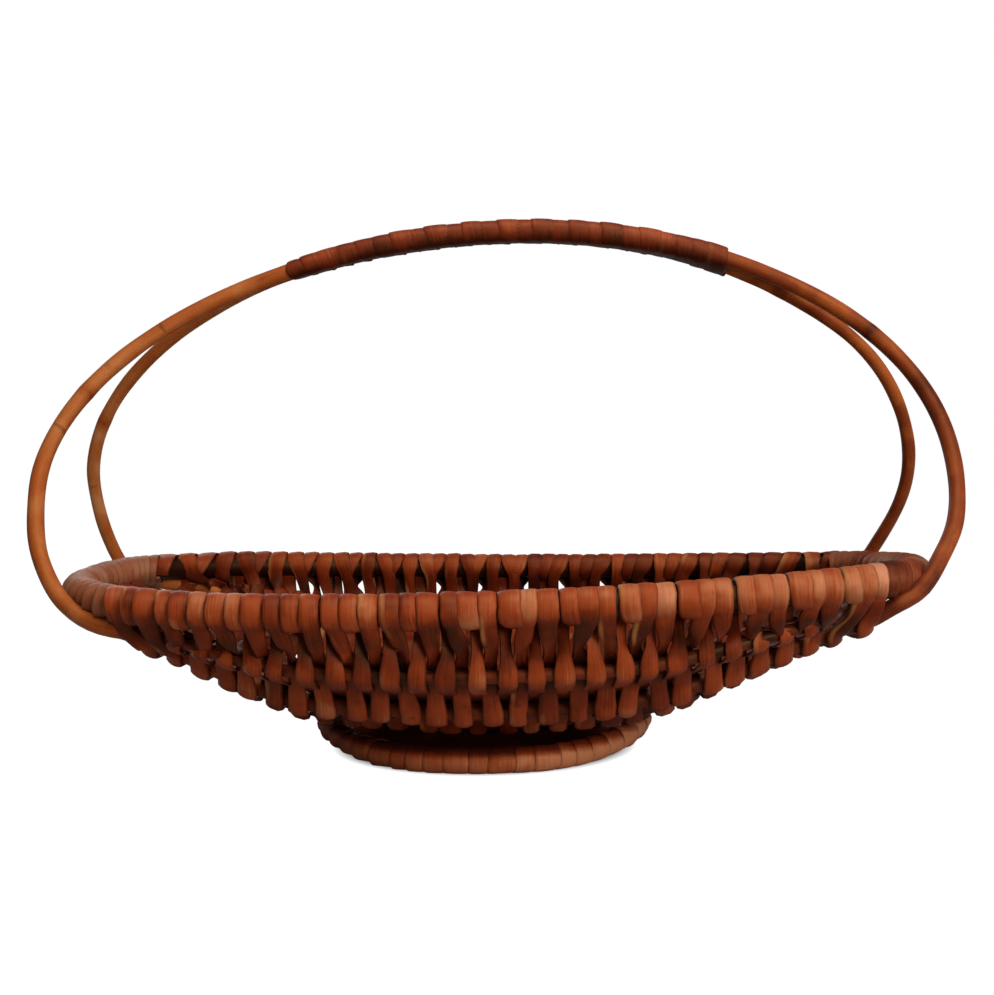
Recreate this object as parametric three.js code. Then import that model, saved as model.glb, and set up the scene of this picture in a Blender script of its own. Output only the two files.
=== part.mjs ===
// Flat wicker basket: a boat-shaped rib basket with a bound oval rim, a two-rod handle and a round foot.
// Millimetres. +X runs along the basket, -Y is its front, +Z is up, and z = 0 is the floor under the foot.
import * as THREE from "three";

// Rim hoop, measured on the centreline of its core
const RIM_HALF_LENGTH = 164;
const RIM_HALF_DEPTH = 110;
const RIM_OVAL_POWER = 2.3;
const RIM_END_RISE = 4;
const RIM_TILT = 0.8;
const RIM_TWIST = 3.4;
const RIM_CORE_DIAMETER = 9.4;

// Hull under the rim
const HULL_DEPTH = 50;
const KEEL_POWER = 1.9;
const SECTION_POWER = 2.5;
const RIB_LINES = 10;
const RIB_DIAMETER = 4.8;
const RIB_OVERRUN = 5;
const EDGE_RIB_MARGIN = 50;

// Weaving strips
const PASS_COUNT = 56;
const PASSES_PER_STRIP = 4;
const WEAVE_END_MARGIN = 29.6;
const STRIP_THICKNESS = 1.2;
const STRIP_SIDE_GAP = 0.6;

// Handle
const HANDLE_LINE = 2;
const FRONT_ROD_DIAMETER = 6.2;
const BACK_ROD_DIAMETER = 5.4;
const HANDLE_OVERHANG = 8;
const HANDLE_RISE = 142;
const HANDLE_WIDEST_ABOVE_RIM = 43;
const HANDLE_SPREAD_AT_RIM = 105;
const HANDLE_LEAN = 12;
const HANDLE_LEFT_DROOP = 1.4;
const HANDLE_RIM_CLEARANCE = 0.5;
const HANDLE_RIM_LEAVE = 12;
const HANDLE_LEAD_LENGTH = 29;
const HANDLE_LEAD_TURN = 15.6;
const HANDLE_LEAD_LIFT = 5.5;
const HANDLE_LEAD_SLACK = 1.9;

// Bindings
const GRIP_LENGTH = 182;
const GRIP_SHIFT = 6;
const GRIP_TURNS = 24;
const RIM_END_TURNS = 20;
const BINDING_THICKNESS = 1.1;
const BINDING_SIDE_GAP = 0.65;

// Foot
const FOOT_RADIUS = 63;
const FOOT_SHIFT = 6;
const FOOT_CORE_DIAMETER = 6.8;
const FOOT_TURNS_EACH_HALF = 23;
const FOOT_FLAT_CUT = 0.5;
const FOOT_SEAT_GAP = 0.4;
const FOOT_LIFT_LEFT = 7.8;
const FOOT_LIFT_RIGHT = 6.4;
const FOOT_LIFT_POWER = 3.3;

// Clearance between pieces that touch
const FIT = 0.35;

// Facets
const ROD_SIDES = 6;
const LOOP_STEPS = 6;
const HALF_STEP = Math.PI / LOOP_STEPS;
const MITRE = 1 / Math.cos(HALF_STEP);

const rimCoreRadius = RIM_CORE_DIAMETER / 2;
const ribRadius = RIB_DIAMETER / 2;
const footCoreRadius = FOOT_CORE_DIAMETER / 2;
const footHeight = 2 * (footCoreRadius + FIT + BINDING_THICKNESS) - FOOT_FLAT_CUT;
const footCentreZ = footCoreRadius + FIT + BINDING_THICKNESS - FOOT_FLAT_CUT;

// Oval of the rim: half depth at a place along the length, and its slope there
function rimHalfDepth(x) {
  const share = Math.min(Math.abs(x) / RIM_HALF_LENGTH, 1);
  return RIM_HALF_DEPTH * (1 - share ** RIM_OVAL_POWER) ** (1 / RIM_OVAL_POWER);
}

function rimSlope(x) {
  const step = 0.01;
  return (rimHalfDepth(x + step) - rimHalfDepth(x - step)) / (2 * step);
}

// The ends of the rim stand higher than its long sides. The hoop is also a little tilted and twisted:
// its right end is higher than its left end at the front, and lower at the back.
function rimRise(x, y) {
  const share = x / RIM_HALF_LENGTH;
  const twist = (RIM_TWIST * y) / RIM_HALF_DEPTH;
  return RIM_END_RISE * share ** 2 + (RIM_TILT - twist) * share;
}

// The foot ring stands flat at the front and back and bends up at its sides, where it meets the hull
function footLift(turn) {
  const share = Math.cos(turn);
  return (share < 0 ? FOOT_LIFT_LEFT : FOOT_LIFT_RIGHT) * Math.abs(share) ** FOOT_LIFT_POWER;
}

function hullDepth(x) {
  return HULL_DEPTH * (1 - Math.min(Math.abs(x) / RIM_HALF_LENGTH, 1) ** KEEL_POWER);
}

// Point of the hull that the rib centrelines lie on, with z counted from the rim's middle.
// The angle runs from 0 at the front rim, past a right angle at the keel, to a half turn at the back rim.
function hullBelowRim(x, angle) {
  const across = Math.cos(angle);
  const y = -rimHalfDepth(x) * Math.sign(across) * Math.abs(across) ** (2 / SECTION_POWER);
  const z = rimRise(x, y) - hullDepth(x) * Math.sin(angle) ** (2 / SECTION_POWER);
  return new THREE.Vector3(x, y, z);
}

// Angles of the rib lines, spaced evenly along the middle section
function ribAngles() {
  const samples = 2000;
  const lengths = [0];
  let last = hullBelowRim(0, 0);
  for (let i = 1; i <= samples; i += 1) {
    const next = hullBelowRim(0, (Math.PI * i) / samples);
    lengths.push(lengths[i - 1] + next.distanceTo(last));
    last = next;
  }
  const angles = [];
  for (let line = 1; line <= RIB_LINES; line += 1) {
    const wanted = (lengths[samples] * line) / (RIB_LINES + 1);
    angles.push((Math.PI * lengths.findIndex((length) => length >= wanted)) / samples);
  }
  return angles;
}

const lineAngles = ribAngles();

const weaveHalfLength = RIM_HALF_LENGTH - WEAVE_END_MARGIN;
const edgeRibReach = RIM_HALF_LENGTH - EDGE_RIB_MARGIN;

function isHandleLine(line) {
  return line === HANDLE_LINE || line === RIB_LINES + 1 - HANDLE_LINE;
}

function isEdgeLine(line) {
  return line === 1 || line === RIB_LINES;
}

function lineRadius(line) {
  if (line === HANDLE_LINE) return FRONT_ROD_DIAMETER / 2;
  if (line === RIB_LINES + 1 - HANDLE_LINE) return BACK_ROD_DIAMETER / 2;
  return ribRadius;
}

// Towards the ends of the weave the handle rods climb the hull and stand off it, on their way out under the rim
function handleLead(x) {
  const share = (Math.abs(x) - weaveHalfLength + HANDLE_LEAD_LENGTH) / HANDLE_LEAD_LENGTH;
  return Math.max(share, 0) ** 2;
}

function lineAngle(line, x) {
  const angle = lineAngles[line - 1];
  if (!isHandleLine(line)) return angle;
  const climb = (handleLead(x) * HANDLE_LEAD_TURN * Math.PI) / 180;
  return line === HANDLE_LINE ? angle - climb : angle + climb;
}

function lineLift(line, x) {
  return isHandleLine(line) ? handleLead(x) * HANDLE_LEAD_LIFT : 0;
}

// The rim stands high enough for the weave's underside to rest on the foot ring
function rimHeight() {
  const reach = ribRadius + FIT + 1.5 * STRIP_THICKNESS;
  let height = 0;
  for (let i = 0; i < 72; i += 1) {
    const turn = (Math.PI * i) / 36;
    const x = FOOT_RADIUS * Math.cos(turn) - FOOT_SHIFT;
    const y = FOOT_RADIUS * Math.sin(turn);
    const across = Math.min(Math.abs(y) / rimHalfDepth(x), 1) ** SECTION_POWER;
    const depth = hullDepth(x) * (1 - across) ** (1 / SECTION_POWER);
    height = Math.max(height, footLift(turn) + depth + reach - rimRise(x, y));
  }
  return footHeight + FOOT_SEAT_GAP + height;
}

const rimZ = rimHeight();

function hullPoint(x, angle) {
  const point = hullBelowRim(x, angle);
  point.z += rimZ;
  return point;
}

function hullNormal(x, angle) {
  const step = 0.01;
  const along = hullPoint(x + step, angle).sub(hullPoint(x - step, angle));
  const around = hullPoint(x, angle + step).sub(hullPoint(x, angle - step));
  return around.cross(along).normalize();
}

// Middle of a rod on its line
function linePoint(line, x) {
  const angle = lineAngle(line, x);
  return hullPoint(x, angle).addScaledVector(hullNormal(x, angle), lineLift(line, x));
}

// A ribbon through stations that each hold two edge points and the direction of the thickness at each edge
function ribbonGeometry(stations, thickness) {
  const corners = [];
  for (const { left, right, leftUp, rightUp } of stations) {
    corners.push(left.clone().addScaledVector(leftUp, -thickness / 2));
    corners.push(right.clone().addScaledVector(rightUp, -thickness / 2));
    corners.push(right.clone().addScaledVector(rightUp, thickness / 2));
    corners.push(left.clone().addScaledVector(leftUp, thickness / 2));
  }
  for (const corner of corners) corner.z = Math.max(corner.z, 0);
  const faces = [];
  for (let station = 0; station < stations.length - 1; station += 1) {
    for (let side = 0; side < 4; side += 1) {
      const a = 4 * station + side;
      const b = 4 * station + ((side + 1) % 4);
      faces.push([a, b, b + 4], [a, b + 4, a + 4]);
    }
  }
  const last = 4 * (stations.length - 1);
  faces.push([0, 2, 1], [0, 3, 2]);
  faces.push([last, last + 1, last + 2], [last, last + 2, last + 3]);
  return solidGeometry(corners, faces);
}

// A closed body from points and triangles, turned so that its faces point out
function solidGeometry(points, faces) {
  let volume = 0;
  for (const [a, b, c] of faces) {
    volume += points[a].dot(points[b].clone().cross(points[c]));
  }
  const order = volume > 0 ? faces : faces.map(([a, b, c]) => [a, c, b]);
  const geometry = new THREE.BufferGeometry();
  geometry.setFromPoints(points);
  geometry.setIndex(order.flat());
  geometry.computeVertexNormals();
  return geometry;
}

function roundShape(radius, sides) {
  const shape = new THREE.Shape();
  for (let i = 0; i < sides; i += 1) {
    const turn = (2 * Math.PI * i) / sides;
    if (i === 0) shape.moveTo(radius, 0);
    else shape.lineTo(radius * Math.cos(turn), radius * Math.sin(turn));
  }
  shape.closePath();
  return shape;
}

function openRod(points, radius, steps) {
  const path = new THREE.CatmullRomCurve3(points, false, "centripetal");
  return new THREE.ExtrudeGeometry(roundShape(radius, ROD_SIDES), { steps, extrudePath: path, bevelEnabled: false });
}

// Materials: varnished willow, with the handle rods more golden than the woven strip
const rodWillow = new THREE.MeshStandardMaterial({ color: 0xa76a3f, roughness: 0.4, metalness: 0 });
const stripWillow = new THREE.MeshStandardMaterial({ color: 0x73321a, roughness: 0.4, metalness: 0 });
const bindingWillow = new THREE.MeshStandardMaterial({ color: 0x9a5a34, roughness: 0.4, metalness: 0 });

const basket = new THREE.Group();

function addPiece(name, geometry, material) {
  const mesh = new THREE.Mesh(geometry, material);
  mesh.name = name;
  basket.add(mesh);
}

// Rim core: a closed hoop, with its ends a little higher than its long sides
function rimCurve() {
  const points = [];
  const count = 240;
  for (let i = 0; i < count; i += 1) {
    const turn = (2 * Math.PI * i) / count;
    const x = RIM_HALF_LENGTH * Math.sign(Math.cos(turn)) * Math.abs(Math.cos(turn)) ** (2 / RIM_OVAL_POWER);
    const y = RIM_HALF_DEPTH * Math.sign(Math.sin(turn)) * Math.abs(Math.sin(turn)) ** (2 / RIM_OVAL_POWER);
    points.push(new THREE.Vector3(x, y, rimZ + rimRise(x, y)));
  }
  const curve = new THREE.CatmullRomCurve3(points, true, "centripetal");
  curve.arcLengthDivisions = 2400;
  return curve;
}

const rimPath = rimCurve();
const rimLength = rimPath.getLength();
addPiece("rim_core", new THREE.TubeGeometry(rimPath, 96, rimCoreRadius, ROD_SIDES, true), rodWillow);

// Share of the rim's length, counted from its right end towards the back, at which a test on the point turns true
function rimShareWhere(low, high, test) {
  let from = low;
  let to = high;
  for (let i = 0; i < 40; i += 1) {
    const middle = (from + to) / 2;
    if (test(rimPath.getPointAt(middle))) to = middle;
    else from = middle;
  }
  return (from + to) / 2;
}

// Frame across the rim: out of the basket, and up
function rimFrame(share) {
  const at = ((share % 1) + 1) % 1;
  const centre = rimPath.getPointAt(at);
  const along = rimPath.getTangentAt(at);
  const out = new THREE.Vector3(along.y, -along.x, 0).normalize();
  const up = out.clone().cross(along).normalize();
  return { centre, out, up };
}

const rimLoopRadius = (rimCoreRadius + FIT + STRIP_THICKNESS / 2) * MITRE;
const rimOuterRadius = rimLoopRadius + (STRIP_THICKNESS / 2) * MITRE;

// Weaving strips. Each pass keeps to its own lane across the basket.
const laneWidth = (2 * weaveHalfLength) / PASS_COUNT;
const stripWidth = laneWidth - STRIP_SIDE_GAP;

function laneCentre(pass) {
  return (pass - (PASS_COUNT - 1) / 2) * laneWidth;
}

// The rib lines that a pass crosses: near the ends of the weave the lines beside the rim have stopped
function linesAt(x) {
  const lines = [];
  for (let line = 1; line <= RIB_LINES; line += 1) {
    if (!isEdgeLine(line) || Math.abs(x) <= edgeRibReach) lines.push(line);
  }
  return lines;
}

// Where a pass changes from one side of the hull to the other just below the rim
function crossingAngle(x) {
  const below = rimLoopRadius + STRIP_THICKNESS;
  return Math.asin((below / hullDepth(x)) ** (SECTION_POWER / 2));
}

// How far the strip stands off each line: enough to clear the rod on its way to the next one.
// Where the lines beside the rim have stopped, the strip comes straight from the rim on the same side of the hull.
function standOffs(x, lines) {
  const crossing = crossingAngle(x);
  const crosses = lines.includes(1);
  const places = [hullPoint(x, crossing)];
  const least = [0];
  for (const line of lines) {
    places.push(linePoint(line, x));
    const slack = isHandleLine(line) ? Math.sqrt(handleLead(x)) * HANDLE_LEAD_SLACK : 0;
    least.push(lineRadius(line) + FIT + STRIP_THICKNESS / 2 + slack);
  }
  places.push(hullPoint(x, Math.PI - crossing));
  least.push(0);
  const offs = least.slice();
  for (let round = 0; round < 12; round += 1) {
    for (let i = 1; i <= lines.length; i += 1) {
      const before = (offs[i] + offs[i - 1]) / places[i].distanceTo(places[i - 1]);
      const after = (offs[i] + offs[i + 1]) / places[i].distanceTo(places[i + 1]);
      const slopeBefore = i > 1 || crosses ? before : 0;
      const slopeAfter = i < lines.length || crosses ? after : 0;
      offs[i] = least[i] * Math.hypot(1, Math.max(slopeBefore, slopeAfter));
    }
  }
  return offs.slice(1, -1);
}

// Both edges of a strip beside a place on the hull. The angle and the distance from the hull are worked out at each edge.
function hullStation(x, facing, angleAt, offAt) {
  const station = {};
  for (const [edge, up, place] of [["left", "leftUp", x - stripWidth / 2], ["right", "rightUp", x + stripWidth / 2]]) {
    const angle = angleAt(place);
    const normal = hullNormal(place, angle);
    station[edge] = hullPoint(place, angle).addScaledVector(normal, offAt(place));
    station[up] = normal.multiplyScalar(facing);
  }
  return station;
}

// Stations of one pass, from the front rim to the back rim
function passStations(pass) {
  const x = laneCentre(pass);
  const facing = pass % 2 === 0 ? 1 : -1;
  const lines = linesAt(x);
  const offs = standOffs(x, lines);
  const stations = lines.map((line, i) => {
    const outside = (pass + line) % 2 === 1 ? 1 : -1;
    const offAt = (place) => lineLift(line, place) + outside * offs[i];
    return hullStation(x, facing, (place) => lineAngle(line, place), offAt);
  });
  if (!lines.includes(1)) return stations;
  const flat = () => 0;
  const front = hullStation(x, facing, crossingAngle, flat);
  const back = hullStation(x, facing, (place) => Math.PI - crossingAngle(place), flat);
  return [front, ...stations, back];
}

// A point of a loop over the rim, in a plane across the basket
function rimLoopPoint(x, side, turn) {
  const lean = Math.hypot(1, rimSlope(x));
  const rimY = side * rimHalfDepth(x);
  const y = rimY + side * rimLoopRadius * Math.cos(turn) * lean;
  return new THREE.Vector3(x, y, rimZ + rimRise(x, rimY) + rimLoopRadius * Math.sin(turn));
}

function rimLoopStation(low, high, side, turn) {
  const facing = new THREE.Vector3(0, side * Math.cos(turn), Math.sin(turn)).multiplyScalar(side * MITRE);
  return {
    left: rimLoopPoint(low, side, turn),
    right: rimLoopPoint(high, side, turn),
    leftUp: facing.clone(),
    rightUp: facing.clone(),
  };
}

// The loop that leads from the inside of one pass over the rim to the outside of the next
function rimLoop(pass, side) {
  const from = laneCentre(pass);
  const to = laneCentre(pass + 1);
  const middle = (from + to) / 2;
  const half = laneWidth - STRIP_SIDE_GAP / 2;
  const turns = [3.5, 2.5, 1.5, 0.5, -0.5].map((steps) => steps * 2 * HALF_STEP);
  return turns.map((turn, i) => {
    if (i === 0) return rimLoopStation(from - stripWidth / 2, from + stripWidth / 2, side, turn);
    if (i === 4) return rimLoopStation(to - stripWidth / 2, to + stripWidth / 2, side, turn);
    return rimLoopStation(middle - half, middle + half, side, turn);
  });
}

function between(first, second, share) {
  return {
    left: first.left.clone().lerp(second.left, share),
    right: first.right.clone().lerp(second.right, share),
    leftUp: second.leftUp,
    rightUp: second.rightUp,
  };
}

const stripCount = PASS_COUNT / PASSES_PER_STRIP;
for (let strip = 0; strip < stripCount; strip += 1) {
  const first = strip * PASSES_PER_STRIP;
  const backLoop = rimLoop(first - 1, 1);
  const stations = [];
  if (strip === 0) stations.push(...backLoop);
  else stations.push(between(backLoop[4], passStations(first).at(-1), 0.12));
  for (let pass = first; pass < first + PASSES_PER_STRIP; pass += 1) {
    const across = passStations(pass);
    if (pass % 2 === 0) stations.push(...across.reverse(), ...rimLoop(pass, -1));
    else stations.push(...across, ...rimLoop(pass, 1));
  }
  const name = "weaving_strip_" + String(strip + 1).padStart(2, "0");
  addPiece(name, ribbonGeometry(stations, STRIP_THICKNESS), stripWillow);
}

// Ribs: the lines beside the rim stop at the edge of the last pass that crosses them, short of the weave's ends.
// The lines under the keel run on to the rim's ends.
function edgeRibEnd() {
  let pass = PASS_COUNT - 1;
  while (laneCentre(pass) > edgeRibReach) pass -= 1;
  return laneCentre(pass) + laneWidth / 2;
}

function ribEnd(line) {
  if (isEdgeLine(line)) return edgeRibEnd();
  let x = weaveHalfLength + RIB_OVERRUN;
  while (clearOfRim(hullPoint(x + 0.5, lineAngles[line - 1]))) x += 0.5;
  return x;
}

function clearOfRim(point) {
  const needed = rimOuterRadius + FIT + ribRadius;
  for (let share = 0; share < 1; share += 0.002) {
    if (rimPath.getPointAt(share).distanceTo(point) < needed) return false;
  }
  return true;
}

for (let line = 1; line <= RIB_LINES; line += 1) {
  if (isHandleLine(line)) continue;
  const end = ribEnd(line);
  const points = [];
  const count = 28;
  for (let i = 0; i <= count; i += 1) {
    points.push(hullPoint(end * ((2 * i) / count - 1), lineAngles[line - 1]));
  }
  addPiece("rib_" + String(line).padStart(2, "0"), openRod(points, ribRadius, count), rodWillow);
}

// Handle arch: an ellipse that leans to the right above its widest place and hangs lower on the left below it
const archHalfSpan = RIM_HALF_LENGTH + HANDLE_OVERHANG;
const archMiddleZ = rimZ + HANDLE_WIDEST_ABOVE_RIM;
const archRise = HANDLE_RISE - HANDLE_WIDEST_ABOVE_RIM;

function archPoint(turn) {
  const height = Math.sin(turn);
  const lean = HANDLE_LEAN * Math.max(height, 0) ** 1.3;
  const reach = height < 0 ? archDrop(Math.cos(turn)) : archRise;
  return new THREE.Vector3(archHalfSpan * Math.cos(turn) + lean, 0, archMiddleZ + reach * height);
}

function archDrop(end) {
  return end < 0 ? archRise * HANDLE_LEFT_DROOP : archRise;
}

// Places along the arch by length, counted from its top, positive to the right
function archTurns() {
  const table = [];
  let length = 0;
  let last = archPoint(Math.PI / 2);
  for (let i = 0; i <= 800; i += 1) {
    const next = archPoint(Math.PI / 2 - (i * Math.PI) / 2400);
    length += next.distanceTo(last);
    last = next;
    table.push(length);
  }
  const left = [];
  length = 0;
  last = archPoint(Math.PI / 2);
  for (let i = 0; i <= 800; i += 1) {
    const next = archPoint(Math.PI / 2 + (i * Math.PI) / 2400);
    length += next.distanceTo(last);
    last = next;
    left.push(length);
  }
  return { right: table, left };
}

const archLengths = archTurns();

function archTurnAt(length) {
  const table = length >= 0 ? archLengths.right : archLengths.left;
  const wanted = Math.abs(length);
  const next = Math.max(1, table.findIndex((value) => value >= wanted));
  const share = (wanted - table[next - 1]) / (table[next] - table[next - 1]);
  const steps = next - 1 + share;
  return Math.PI / 2 - (Math.sign(length) * steps * Math.PI) / 2400;
}

const gripStart = -GRIP_SHIFT - GRIP_LENGTH / 2;
const gripEnd = -GRIP_SHIFT + GRIP_LENGTH / 2;
const splitZ = Math.min(archPoint(archTurnAt(gripStart)).z, archPoint(archTurnAt(gripEnd)).z) - 2;

// Route of one handle hoop: along its rib line, out under the rim, up the arch and down again on the other side
function handleRoute(line, radius) {
  const side = line === HANDLE_LINE ? -1 : 1;
  const halfSpread = HANDLE_SPREAD_AT_RIM / 2;
  const standOff = rimOuterRadius + HANDLE_RIM_CLEARANCE + radius;
  const gripY = radius + FIT / 2;

  function rimShareBeside(end, reach) {
    if (end > 0 && side > 0) return rimShareWhere(0, 0.22, (point) => point.y >= reach);
    if (end > 0) return rimShareWhere(0.78, 1, (point) => point.y >= -reach);
    if (side > 0) return rimShareWhere(0.28, 0.5, (point) => point.y <= reach);
    return rimShareWhere(0.5, 0.72, (point) => point.y <= -reach);
  }

  // The rod comes down outside the rim and follows it a little way as it goes under it
  function rimPassing(end) {
    const passing = [];
    for (const [further, degrees, drift] of [[11, -68, 1], [7, -38, 1], [2, -8, 1.02], [0, 22, 1.17]]) {
      const { centre, out, up } = rimFrame(rimShareBeside(end, halfSpread + further));
      const turn = (degrees * Math.PI) / 180;
      const point = centre.clone();
      point.addScaledVector(out, drift * standOff * Math.cos(turn));
      point.addScaledVector(up, drift * standOff * Math.sin(turn));
      passing.push(point);
    }
    return passing;
  }

  const right = rimPassing(1);
  const left = rimPassing(-1);

  function archSide(turn) {
    const point = archPoint(turn);
    const passing = turn < Math.PI / 2 ? right.at(-1) : left.at(-1);
    const spread = Math.abs(passing.y) - gripY;
    const open = Math.max(splitZ - point.z, 0) / (splitZ - passing.z);
    point.y = side * (gripY + spread * open ** 1.15);
    return point;
  }

  function lowestTurn(end, passing) {
    return Math.asin((passing.at(-1).z + HANDLE_RIM_LEAVE - archMiddleZ) / archDrop(end));
  }

  const points = [];
  const bottomCount = 44;
  for (let i = 0; i <= bottomCount; i += 1) {
    points.push(linePoint(line, weaveHalfLength * ((2 * i) / bottomCount - 1)));
  }
  points.push(...right);
  const lowRight = lowestTurn(1, right);
  const lowLeft = Math.PI - lowestTurn(-1, left);
  const archCount = 40;
  for (let i = 0; i <= archCount; i += 1) {
    points.push(archSide(lowRight + ((lowLeft - lowRight) * i) / archCount));
  }
  points.push(...left.reverse());
  return new THREE.CatmullRomCurve3(points, true, "centripetal");
}

const frontRoute = handleRoute(HANDLE_LINE, FRONT_ROD_DIAMETER / 2);
const backRoute = handleRoute(RIB_LINES + 1 - HANDLE_LINE, BACK_ROD_DIAMETER / 2);
for (const route of [frontRoute, backRoute]) route.arcLengthDivisions = 1600;
const hoopSteps = 100;
const frontHoop = new THREE.TubeGeometry(frontRoute, hoopSteps, FRONT_ROD_DIAMETER / 2, ROD_SIDES, true);
const backHoop = new THREE.TubeGeometry(backRoute, hoopSteps, BACK_ROD_DIAMETER / 2, ROD_SIDES, true);
addPiece("handle_hoop_front", frontHoop, rodWillow);
addPiece("handle_hoop_back", backHoop, rodWillow);

// A binding: one ribbon wound round a core. The surface gives a point and a direction out at a length and a turn.
function windingStations(surface, start, length, turns) {
  const pitch = length / turns;
  const half = (pitch - BINDING_SIDE_GAP) / 2;
  const stations = [];
  for (let step = 0; step <= (turns - 1) * LOOP_STEPS; step += 1) {
    const at = start + pitch / 2 + (pitch * step) / LOOP_STEPS;
    const left = surface(at - half, step);
    const right = surface(at + half, step);
    stations.push({ left: left.point, right: right.point, leftUp: left.out, rightUp: right.out });
  }
  return stations;
}

// Least gap between each turn and the next, on the corners of their facing edges and half way between them
function leastGap(stations) {
  let least = Infinity;
  for (let i = 0; i + LOOP_STEPS < stations.length; i += 1) {
    for (let j = i + LOOP_STEPS - 2; j <= i + LOOP_STEPS + 2 && j + 1 < stations.length; j += 1) {
      const next = stations[j].left.clone().lerp(stations[j + 1].left, 0.5);
      least = Math.min(least, stations[i].right.distanceTo(stations[j].left));
      least = Math.min(least, stations[i].right.distanceTo(next));
    }
  }
  return least;
}

function addBinding(name, stations) {
  console.log(name + ": least gap between turns " + leastGap(stations).toFixed(2) + " mm");
  addPiece(name, ribbonGeometry(stations, BINDING_THICKNESS), bindingWillow);
}

// Grip binding round both rods. Three of its six corners lie round the front rod and three round the back rod.
function gripSurface(length, step) {
  const turn = archTurnAt(length);
  const centre = archPoint(turn);
  const along = archPoint(turn - 0.001).sub(archPoint(turn + 0.001)).normalize();
  const up = new THREE.Vector3(-along.z, 0, along.x);
  const corner = ((step % LOOP_STEPS) + 1) * 2 * HALF_STEP;
  const front = Math.cos(corner + HALF_STEP / 1000) < 0;
  const rod = (front ? FRONT_ROD_DIAMETER : BACK_ROD_DIAMETER) / 2;
  const side = front ? -1 : 1;
  const radius = (rod + FIT + BINDING_THICKNESS / 2) * MITRE;
  const out = up.clone().multiplyScalar(Math.sin(corner) * MITRE);
  out.y += Math.cos(corner) * MITRE;
  const point = centre.clone().addScaledVector(up, radius * Math.sin(corner));
  point.y += side * (rod + FIT / 2) + radius * Math.cos(corner);
  return { point, out };
}

addBinding("grip_binding", windingStations(gripSurface, gripStart, GRIP_LENGTH, GRIP_TURNS));

// Rim end bindings, from the last loop of the weave on one side round the end to the first on the other.
// Their turns lie across the basket beside the weave and fan out to stand square to the rim at the very end.
const rimBindingRadius = (rimCoreRadius + FIT + BINDING_THICKNESS / 2) * MITRE;

function skewAt(share) {
  const { centre, out } = rimFrame(share);
  const across = Math.sign(centre.y) * Math.PI / 2;
  return across - Math.atan2(out.y, Math.abs(out.x));
}

function rimSurface(from, to, end) {
  const skewFrom = end * skewAt(from);
  const skewTo = end * skewAt(to);
  return (length, step) => {
    const share = length / rimLength;
    const { centre, out, up } = rimFrame(share);
    const skew = skewFrom + ((skewTo - skewFrom) * (share - from)) / (to - from);
    const turn = (step + 0.5) * 2 * HALF_STEP;
    const level = out.clone().applyAxisAngle(new THREE.Vector3(0, 0, 1), skew);
    const point = centre.clone().addScaledVector(up, rimBindingRadius * Math.sin(turn));
    point.addScaledVector(level, (rimBindingRadius * Math.cos(turn)) / Math.cos(skew));
    const away = level.multiplyScalar(Math.cos(turn)).addScaledVector(up, Math.sin(turn));
    return { point, out: away.multiplyScalar(MITRE) };
  };
}

const frontEdge = weaveHalfLength;
const backEdge = weaveHalfLength + laneWidth;
const rightFrom = rimShareWhere(0.75, 1, (point) => point.x >= frontEdge) - 1;
const rightTo = rimShareWhere(0, 0.25, (point) => point.x <= backEdge);
const leftFrom = rimShareWhere(0.25, 0.5, (point) => point.x <= -backEdge);
const leftTo = rimShareWhere(0.5, 0.75, (point) => point.x >= -frontEdge);
const rimEnds = [
  ["rim_binding_right", rightFrom, rightTo, 1],
  ["rim_binding_left", leftFrom, leftTo, -1],
];
for (const [name, from, to, end] of rimEnds) {
  const surface = rimSurface(from, to, end);
  addBinding(name, windingStations(surface, from * rimLength, (to - from) * rimLength, RIM_END_TURNS));
}

// Foot ring: a closed core and two bindings of half the ring each, cut flat where they stand on the floor.
// The cut is part of the ribbon: no corner of it goes below the floor.
class FootCircle extends THREE.Curve {
  getPoint(share, target = new THREE.Vector3()) {
    const turn = 2 * Math.PI * share;
    const z = footCentreZ + footLift(turn);
    return target.set(FOOT_RADIUS * Math.cos(turn) - FOOT_SHIFT, FOOT_RADIUS * Math.sin(turn), z);
  }
}

addPiece("foot_core", new THREE.TubeGeometry(new FootCircle(), 48, footCoreRadius, ROD_SIDES, true), rodWillow);

const footBindingRadius = (footCoreRadius + FIT + BINDING_THICKNESS / 2) * MITRE;

function footSurface(length, step) {
  const around = length / FOOT_RADIUS;
  const turn = (step % LOOP_STEPS) * 2 * HALF_STEP;
  const away = new THREE.Vector3(Math.cos(around), Math.sin(around), 0).multiplyScalar(Math.cos(turn));
  away.z = Math.sin(turn);
  const x = FOOT_RADIUS * Math.cos(around) - FOOT_SHIFT;
  const y = FOOT_RADIUS * Math.sin(around);
  const point = new THREE.Vector3(x, y, footCentreZ + footLift(around)).addScaledVector(away, footBindingRadius);
  return { point, out: away.multiplyScalar(MITRE) };
}

const halfRing = Math.PI * FOOT_RADIUS;
for (const [name, start] of [["foot_binding_back", 0], ["foot_binding_front", halfRing]]) {
  const stations = windingStations(footSurface, start, halfRing, FOOT_TURNS_EACH_HALF);
  addBinding(name, stations);
}

export default basket;
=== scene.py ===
# Flat wicker basket of varnished willow: an oval bound rim, a hull woven on ribs,
# a handle of two rods and a foot ring.
# Metres. +X runs along the basket, -Y is its front, +Z is up, and the floor is at z = 0.
import math
import random

import bpy
import numpy as np
from mathutils import Matrix, Vector


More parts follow.
